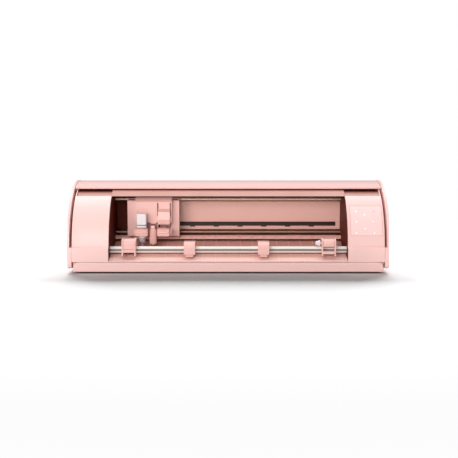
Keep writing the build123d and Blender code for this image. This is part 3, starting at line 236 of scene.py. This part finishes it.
ground_steel = lined_metal("ground_steel_rail", "#E2C9B4", "#D6BBA5", 0.38, (1.0, 0.05, 0.05), 0.5, 0.008)
bar_mid = (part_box("pinch_bar")[0][2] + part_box("pinch_bar")[1][2]) / 2
# The dark stripe along the bar's groove is painted shade, where the groove lies in shadow.
bar_groove_painted_shade = ("Z", bar_mid - 2.0 * MM, bar_mid + 1.6 * MM, 0.25 * MM, "#8C837C", 1.0)
anodised_bar = moulded_plastic("anodised_satin_bar", "#F0E9E4", "#E9E1DB", 0.32, drift_mm=60, grain=0.02,
                               bands=(bar_groove_painted_shade,))
# The lower rail is the same ground steel in darker tones: painted shade, for where it sits in shadow.
rail_steel_painted_shade = lined_metal("ground_steel_lower_rail_painted_shade", "#A98474", "#8B6A5B", 0.50, (1.0, 0.05, 0.05))
grit_steel = lined_metal("knurled_feed_steel", "#8A8480", "#5B5653", 0.45, (0.6, 1.0, 1.0), 0.9, 0.15)
motor_can = lined_metal("turned_aluminium_can", "#B9BABD", "#9A9B9F", 0.33, (0.05, 1.0, 1.0))
sintered_bronze = lined_metal("sintered_bronze", "#B98E56", "#96703F", 0.42, (1.0, 1.0, 1.0), 0.7)
zinc_screw = lined_metal("zinc_plated_screw", "#C9CACB", "#A8A9AB", 0.32, (1.0, 1.0, 1.0), 0.8)
print("metals added")


# %% [markdown]
# ## Powder coat, rubber, board, film and lamps
# The steel plates beside the opening are powder coated: an orange-peel skin about two millimetres across.
# The feet and belt are nearly black rubber and the wheels a greyer one, each quite rough with a faint bloom.
# The lamp windows glow: each is a clear lens whose light varies a little, and one of them is blue.

# %% The remaining finishes
def powder_coat(name, light, dark):
    """Cured powder paint on sheet steel: a rolling orange-peel bump under a satin film."""
    material, tree, place = start(name)
    peel = add(tree, "ShaderNodeTexNoise", {"Vector": place, "Scale": 1 / (2.0 * MM), "Detail": 1.0})
    tone = add(tree, "ShaderNodeMix", {"Factor": peel.outputs["Fac"], "A": linear(light), "B": linear(dark)},
               data_type="RGBA")
    bump = add(tree, "ShaderNodeBump", {"Height": peel.outputs["Fac"], "Strength": 0.25,
                                       "Distance": 0.1 * MM})
    shader = add(tree, "ShaderNodeBsdfPrincipled", {
        "Base Color": tone.outputs["Result"], "Roughness": 0.55, "Specular IOR Level": 0.12,
        "Normal": bump.outputs[0]})
    close(tree, shader)
    return material


def moulded_rubber(name, light, dark):
    """Black rubber with a dusty bloom where the slow noise is high."""
    material, tree, place = start(name)
    bloom = add(tree, "ShaderNodeTexNoise", {"Vector": place, "Scale": 1 / (6 * MM), "Detail": 6.0})
    tone = add(tree, "ShaderNodeMix", {"Factor": bloom.outputs["Fac"], "A": linear(light), "B": linear(dark)},
               data_type="RGBA")
    rough = add(tree, "ShaderNodeMapRange", {"Value": bloom.outputs["Fac"], "To Min": 0.6, "To Max": 0.9})
    bump = add(tree, "ShaderNodeBump", {"Height": bloom.outputs["Fac"], "Strength": 0.3,
                                       "Distance": 0.15 * MM})
    shader = add(tree, "ShaderNodeBsdfPrincipled", {
        "Base Color": tone.outputs["Result"], "Roughness": rough.outputs[0], "IOR": 1.52,
        "Normal": bump.outputs[0]})
    close(tree, shader)
    return material


def lamp_lens(name, glow, strength, lens="#F7F4F4"):
    """A lit lens: frosted acrylic whose emission varies a little across it."""
    material, tree, place = start(name)
    frost = add(tree, "ShaderNodeTexNoise", {"Vector": place, "Scale": 1 / (0.8 * MM), "Detail": 2.0})
    level = add(tree, "ShaderNodeMapRange", {"Value": frost.outputs["Fac"], "To Min": strength * 0.8,
                                            "To Max": strength * 1.2})
    shader = add(tree, "ShaderNodeBsdfPrincipled", {
        "Base Color": linear(lens), "Roughness": 0.3, "IOR": 1.49, "Emission Color": linear(glow),
        "Emission Strength": level.outputs[0]})
    close(tree, shader)
    return material


frame_paint = powder_coat("powder_coat_rose_brown", "#6A2416", "#5A1C10")
black_rubber = moulded_rubber("moulded_rubber_black", "#2A2726", "#1B1918")
rose_rubber = moulded_rubber("moulded_rubber_grey_rose", "#A98C86", "#957872")
board_green = powder_coat("solder_mask_green", "#1F5A34", "#174A2A")
panel_film = moulded_plastic("printed_film_rose", "#FBD9D6", "#F8D2CE", 0.34, grain=0.02, coat=0.1,
                             bands=panel_edges)
white_glow = lamp_lens("lit_lens_white", "#FFFFFF", 0.25)
blue_glow = lamp_lens("lit_lens_blue", "#8E9CFF", 0.25, "#A9AEE8")
print("materials", len(bpy.data.materials))


# %% [markdown]
# ## Dress the CAD pieces
# Each solid keeps its shape and only gets its finish. The list is by finish, so that a change of plastic
# touches one line.

# %% Assign finishes to the CAD nodes
FINISHES = {
    blush: (
        "left_end_cap", "right_end_cap", "left_front_cover", "right_front_cover", "rear_cover",
        "drawer_front"),
    blush_lid: ("lid_shell",),
    blush_inside: ("exit_lip", "base_tray", "drawer_tray"),
    blush_header_painted_shade: ("header",),
    blush_beam_painted_shade: ("carriage_beam",),
    blush_ribbed: ("media_guide",),
    blush_apron: ("front_apron",),
    blush_small: (
        "carriage_cover", "tool_1_holder", "tool_1_clamp", "tool_2_holder", "tool_2_clamp",
        "left_outer_housing", "left_middle_housing", "right_middle_housing", "right_outer_housing",
        "left_outer_hood", "right_outer_hood", "left_middle_latch", "right_middle_latch", "depth_wheel"),
    panel_film: ("touch_panel",),
    white_glow: ("indicator_lights",),
    blue_glow: ("power_light",),
    frame_paint: ("bay_frames", "carriage_plate"),
    ground_steel: ("upper_rail",),
    rail_steel_painted_shade: ("lower_rail",),
    anodised_bar: ("pinch_bar",),
    grit_steel: ("grit_shaft",),
    motor_can: ("carriage_motor", "feed_motor", "drive_pulley", "idler_pulley"),
    sintered_bronze: ("shaft_bushes", "rail_bushes", "motor_pinion"),
    zinc_screw: ("frame_screws",),
    nylon: ("feed_gear", "front_support_roller", "rear_support_roller"),
    white_abs: ("release_knob",),
    white_tool: ("blade_tool",),
    lilac_pom: ("blade_tip",),
    black_rubber: ("rubber_feet", "drive_belt"),
    rose_rubber: ("left_outer_wheel", "left_middle_wheel", "right_middle_wheel", "right_outer_wheel"),
    black_abs: ("cutting_strip", "rear_sockets"),
    board_green: ("control_board",),
}
for finish, names in FINISHES.items():
    for name in names:
        nodes[name].data.materials.clear()
        nodes[name].data.materials.append(finish)
bare = set(nodes) - {name for names in FINISHES.values() for name in names}
print("nodes with no finish", sorted(bare))


# %% [markdown]
# ## Sculpted finger grips
# Each tool clamp has a moulded grip on its front, high at both ends and pinched in the middle, where a thumb
# and a finger take hold. A rounded block with a waist gives that form.

# %% Finger grips on the two tool clamps
def signed_power(wave, exponent):
    """The size of each value raised to the exponent, with the value's own sign kept."""
    return np.sign(wave) * np.abs(wave) ** exponent


def waisted_block(name, centre, half, square, waist, columns=96, rows=48):
    """A superellipsoid: cosines and sines of two angles, each raised to the power square, times the half
    sizes; its height is then cut by waist at the middle and by nothing at the two ends."""
    around = np.linspace(-np.pi, np.pi, columns, endpoint=False)
    u, v = np.meshgrid(around, np.linspace(-np.pi / 2, np.pi / 2, rows))
    x = signed_power(np.cos(v), square) * signed_power(np.cos(u), square)
    y = signed_power(np.cos(v), square) * signed_power(np.sin(u), square)
    z = signed_power(np.sin(v), square) * (1 - waist * (1 - x ** 2))
    points = np.stack([x, y, z], axis=-1).reshape(-1, 3) * half + centre
    row, column = np.meshgrid(np.arange(rows - 1), np.arange(columns), indexing="ij")
    right = (column + 1) % columns
    quads = np.stack([row * columns + column, row * columns + right,
                      (row + 1) * columns + right, (row + 1) * columns + column], axis=-1).reshape(-1, 4)
    mesh = bpy.data.meshes.new(name)
    mesh.from_pydata(points.tolist(), [], quads.tolist())
    mesh.shade_smooth()
    piece = bpy.data.objects.new(name, mesh)
    bpy.context.collection.objects.link(piece)
    return piece


TOOL_PITCH = 40 * MM
GRIP_DEPTH = 3.2 * MM
GRIP_HALF = (10.0 * MM, 3.0 * MM, 4.0 * MM)
for number in ("1", "2"):
    clamp_low, clamp_high = (np.array(corner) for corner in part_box(f"tool_{number}_clamp"))
    tool_x = (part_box("blade_tool")[0][0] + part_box("blade_tool")[1][0]) / 2
    tool_x = tool_x + (TOOL_PITCH if number == "2" else 0.0)
    mid_z = (clamp_low[2] + clamp_high[2]) / 2
    grip = waisted_block(f"clamp_{number}_grip", (tool_x, clamp_low[1] + GRIP_DEPTH, mid_z),
                         GRIP_HALF, 0.55, 0.45)
    grip.data.materials.append(blush_small)
    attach(grip, f"clamp_{number}")
    print(grip.name, "at x", round(tool_x, 4))


# %% [markdown]
# ## Table
# The machine stands on white paper. With distance from the machine the paper fades into a plain white glow,
# so it meets a white background with no horizon line.

# %% Floor
def flat_grid(name, half_x, y0, y1):
    """A level sheet at z = 0 with x across and y away from the viewer."""
    x, y = np.meshgrid(np.linspace(-half_x, half_x, 2), np.linspace(y0, y1, 2))
    points = np.stack([x.ravel(), y.ravel(), np.zeros(x.size)], axis=1)
    mesh = bpy.data.meshes.new(name)
    mesh.from_pydata(points.tolist(), [], [(0, 1, 3, 2)])
    piece = bpy.data.objects.new(name, mesh)
    bpy.context.collection.objects.link(piece)
    return piece


SWEEP_HALF = 40.0
floor = flat_grid("floor", SWEEP_HALF, -SWEEP_HALF, SWEEP_HALF)
floor_paper, tree, place = start("white_paper_sweep")
fleck = add(tree, "ShaderNodeTexNoise", {"Vector": place, "Scale": 40.0, "Detail": 2.0})
paper_tone = add(tree, "ShaderNodeMix", {"Factor": fleck.outputs["Fac"], "A": linear("#F8F8F8"),
                                         "B": linear("#F6F6F6")}, data_type="RGBA")
paper = add(tree, "ShaderNodeBsdfDiffuse", {"Color": paper_tone.outputs["Result"]})
far_out = add(tree, "ShaderNodeVectorMath", {0: place}, operation="LENGTH").outputs["Value"]
FADE_FROM, FADE_TO = 0.55, 1.15
fade = add(tree, "ShaderNodeMapRange", {"Value": far_out, "From Min": FADE_FROM, "From Max": FADE_TO},
           interpolation_type="SMOOTHSTEP")
lit_sweep = add(tree, "ShaderNodeEmission", {"Color": linear("#FFFFFF"), "Strength": 1.0})
sweep = add(tree, "ShaderNodeMixShader", {"Fac": fade.outputs[0], 1: paper.outputs[0],
                                          2: lit_sweep.outputs[0]})
close(tree, sweep)
floor.data.materials.append(floor_paper)


# %% [markdown]
# ## Light
# Light linking says which lamp reaches what. A broad soft box in front and a strip above light the machine
# and leave the paper out. A bank behind lights only the paper, and the machine throws its soft shadow forward
# on it. The world is a low even white, and plain white where the camera looks straight at it.

# %% Lights
def soft_box(name, place, target, width, height, power, colour="#FFFFFF"):
    """A rectangular area light at place, aimed at target."""
    data = bpy.data.lights.new(name, "AREA")
    data.shape = "RECTANGLE"
    data.size, data.size_y, data.energy = width, height, power
    data.color = linear(colour)[:3]
    lamp = bpy.data.objects.new(name, data)
    lamp.location = place
    lamp.rotation_euler = (Vector(target) - Vector(place)).to_track_quat("-Z", "Y").to_euler()
    bpy.context.collection.objects.link(lamp)
    return lamp


middle = Vector((0.0, 0.0, top_z / 2))
front_key = soft_box("front_key", (-0.9, -2.6, 0.75), middle, 2.2, 0.9, 50, "#FFFAF8")
top_strip = soft_box("top_strip", (-0.1, 0.45, 1.9), middle, 2.2, 0.7, 34)
rear_bank = soft_box("rear_bank", (0.0, 1.8, 1.25), middle, 3.2, 1.1, 175)
for lamps, state in (((front_key, top_strip), "EXCLUDE"), ((rear_bank,), "INCLUDE")):
    group = bpy.data.collections.new("paper_" + state.lower())
    group.objects.link(floor)
    group.collection_objects[0].light_linking.link_state = state
    for lamp in lamps:
        lamp.light_linking.receiver_collection = group
world = bpy.data.worlds.new("studio_air")
world.use_nodes = True
air = world.node_tree
seen = add(air, "ShaderNodeLightPath").outputs["Is Camera Ray"]
AIR_STRENGTH = 0.3
strength = add(air, "ShaderNodeMapRange", {"Value": seen, "To Min": AIR_STRENGTH, "To Max": 1.0})
air.links.new(strength.outputs[0], air.nodes["Background"].inputs["Strength"])
air.nodes["Background"].inputs["Color"].default_value = (1, 1, 1, 1)
bpy.context.scene.world = world
bpy.context.scene.view_settings.view_transform = "Standard"


# %% [markdown]
# ## Camera
# The camera stands where a person at a desk would: a little above the machine, straight in front.

# %% Camera
eye = Vector((0.0, -1.6, 0.225))
look = Vector((0.0, 0.0, 0.0695))
camera_data = bpy.data.cameras.new("desk_view")
camera_data.lens = 67.4
camera_data.sensor_width = 36.0
camera_data.clip_start = 0.05
camera_data.shift_x = 0.0017
camera = bpy.data.objects.new("desk_view", camera_data)
camera.location = eye
camera.rotation_euler = (look - eye).to_track_quat("-Z", "Y").to_euler()
bpy.context.collection.objects.link(camera)
bpy.context.scene.camera = camera
print("camera at", tuple(eye))
